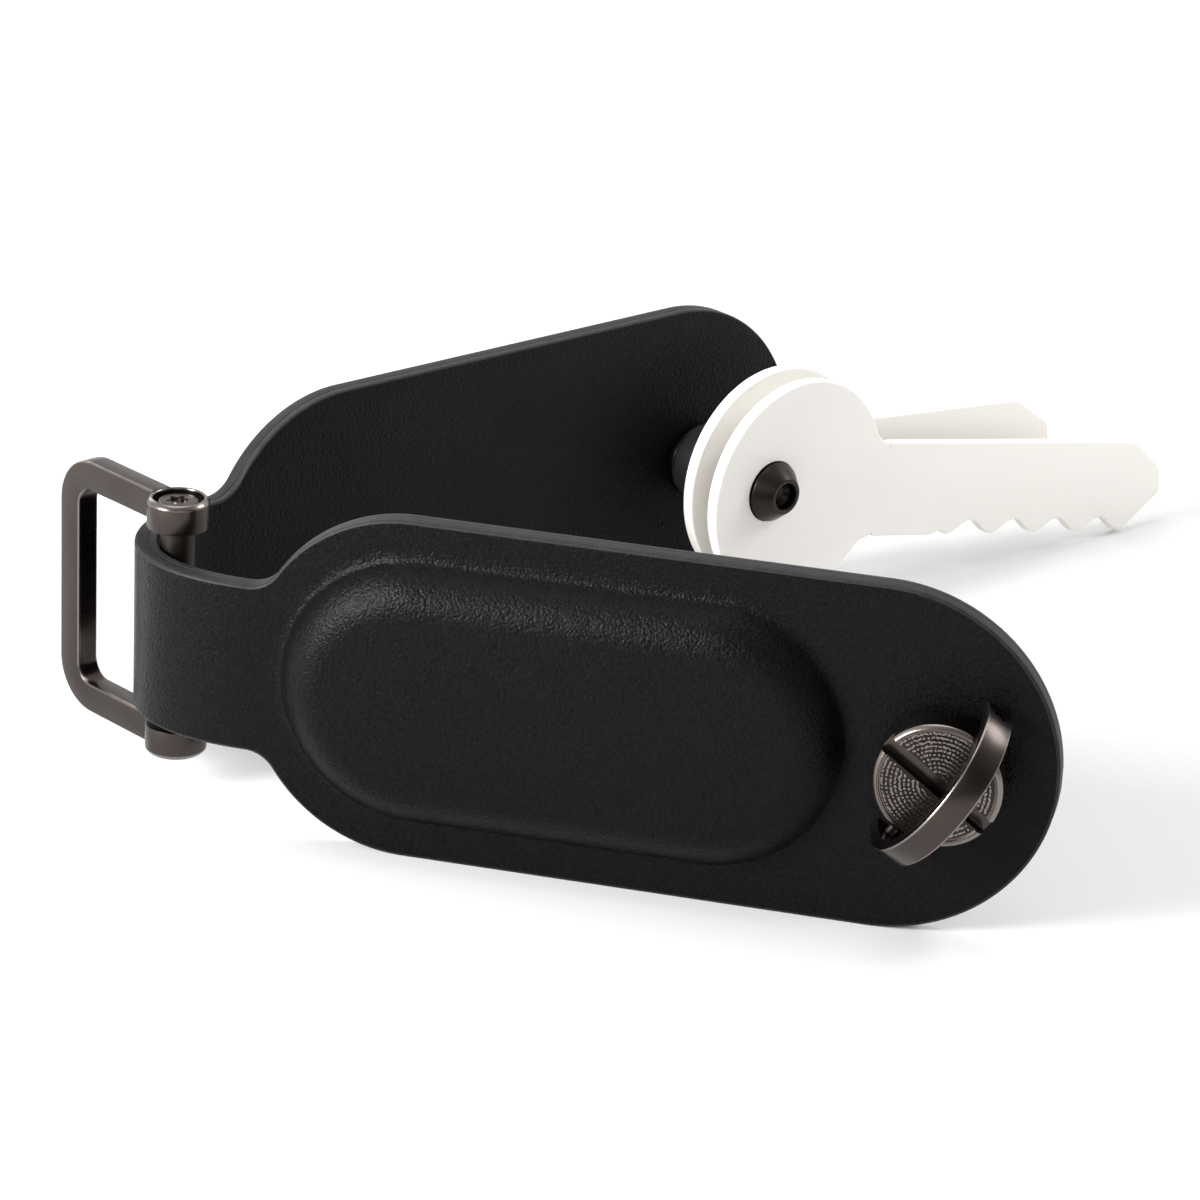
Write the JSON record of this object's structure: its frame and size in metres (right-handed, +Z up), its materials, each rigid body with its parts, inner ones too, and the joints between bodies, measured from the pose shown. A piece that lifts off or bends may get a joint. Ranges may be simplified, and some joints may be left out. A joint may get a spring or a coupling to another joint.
{
  "type": "key organizer",
  "caption": "Folded leather key organizer on a metal ring, with keys on a screw post inside its rear leaf, a moulded pocket, and a turn lock with a folding bail on its front leaf.",
  "frame": {"origin": "middle of the base of the bounding box, on the surface that the leaves' long edges stand on", "axes": "+X runs from the ring post along the middle of the opening between the leaves, +Z is up along the ring post, and the leaf with the lock is on the -Y side"},
  "size_m": [0.1166, 0.0994, 0.03],
  "materials": {
    "leather": "black fine-grain cowhide, semi-matt, with painted edges",
    "lining": "thin black smooth leather, matt",
    "core": "dark stiff board, dull",
    "gunmetal": "satin gunmetal plate with polished edges",
    "black_metal": "black oxide, satin",
    "spacer": "black nylon, matt",
    "key_white": "off-white, matt"
  },
  "bodies": {
    "rear_leaf": {"rear_leaf_leather": "leather", "rear_leaf_lining": "lining", "neck_loop_leather": "leather", "neck_loop_lining": "lining", "key_post_back_cap": "black_metal", "key_post_washer": "black_metal", "key_post": "black_metal", "key_post_tip": "black_metal", "rear_key_spacer": "spacer", "middle_key_spacer": "spacer"},
    "front_leaf": {"front_leaf_leather": "leather", "front_leaf_lining": "lining", "pocket_core": "core", "lock_seat": "black_metal", "lock_collar": "gunmetal"},
    "ring": {"ring_frame": "gunmetal", "ring_post_barrel": "gunmetal", "ring_post_screw": "gunmetal"},
    "rear_key": {"rear_key": "key_white"},
    "front_key": {"front_key": "key_white"},
    "lock_knob": {"lock_drum": "gunmetal", "lock_screw": "black_metal", "lock_clip": "gunmetal", "bail_pin_upper": "gunmetal", "bail_pin_lower": "gunmetal"},
    "lock_bail": {"lock_bail": "gunmetal"}
  },
  "joints": [
    {"name": "leaf_fold", "type": "hinge", "parent": "rear_leaf", "child": "front_leaf", "pos_m": [-0.05021, -0.00545, 0.015], "axis": [0, 0, 1], "range_deg": [-45, 55], "deforming": ["neck_loop_leather", "neck_loop_lining"]},
    {"name": "ring_swing", "type": "hinge", "parent": "rear_leaf", "child": "ring", "pos_m": [-0.0501, -0.00231, 0.015], "axis": [0, 0, 1], "range_deg": [-38, 117]},
    {"name": "rear_key_swivel", "type": "hinge", "parent": "rear_leaf", "child": "rear_key", "pos_m": [0.00455, 0.03283, 0.015], "axis": [0.4623, -0.8867, 0], "continuous": true},
    {"name": "front_key_swivel", "type": "hinge", "parent": "rear_leaf", "child": "front_key", "pos_m": [0.00455, 0.03283, 0.015], "axis": [0.4623, -0.8867, 0], "continuous": true},
    {"name": "knob_turn", "type": "hinge", "parent": "front_leaf", "child": "lock_knob", "pos_m": [0.00647, -0.04003, 0.015], "axis": [-0.4623, -0.8867, 0], "continuous": true},
    {"name": "bail_flip", "type": "hinge", "parent": "lock_knob", "child": "lock_bail", "pos_m": [0.00541, -0.04207, 0.015], "axis": [0.5174, -0.2698, 0.8121], "range_deg": [-101, 78]}
  ]
}
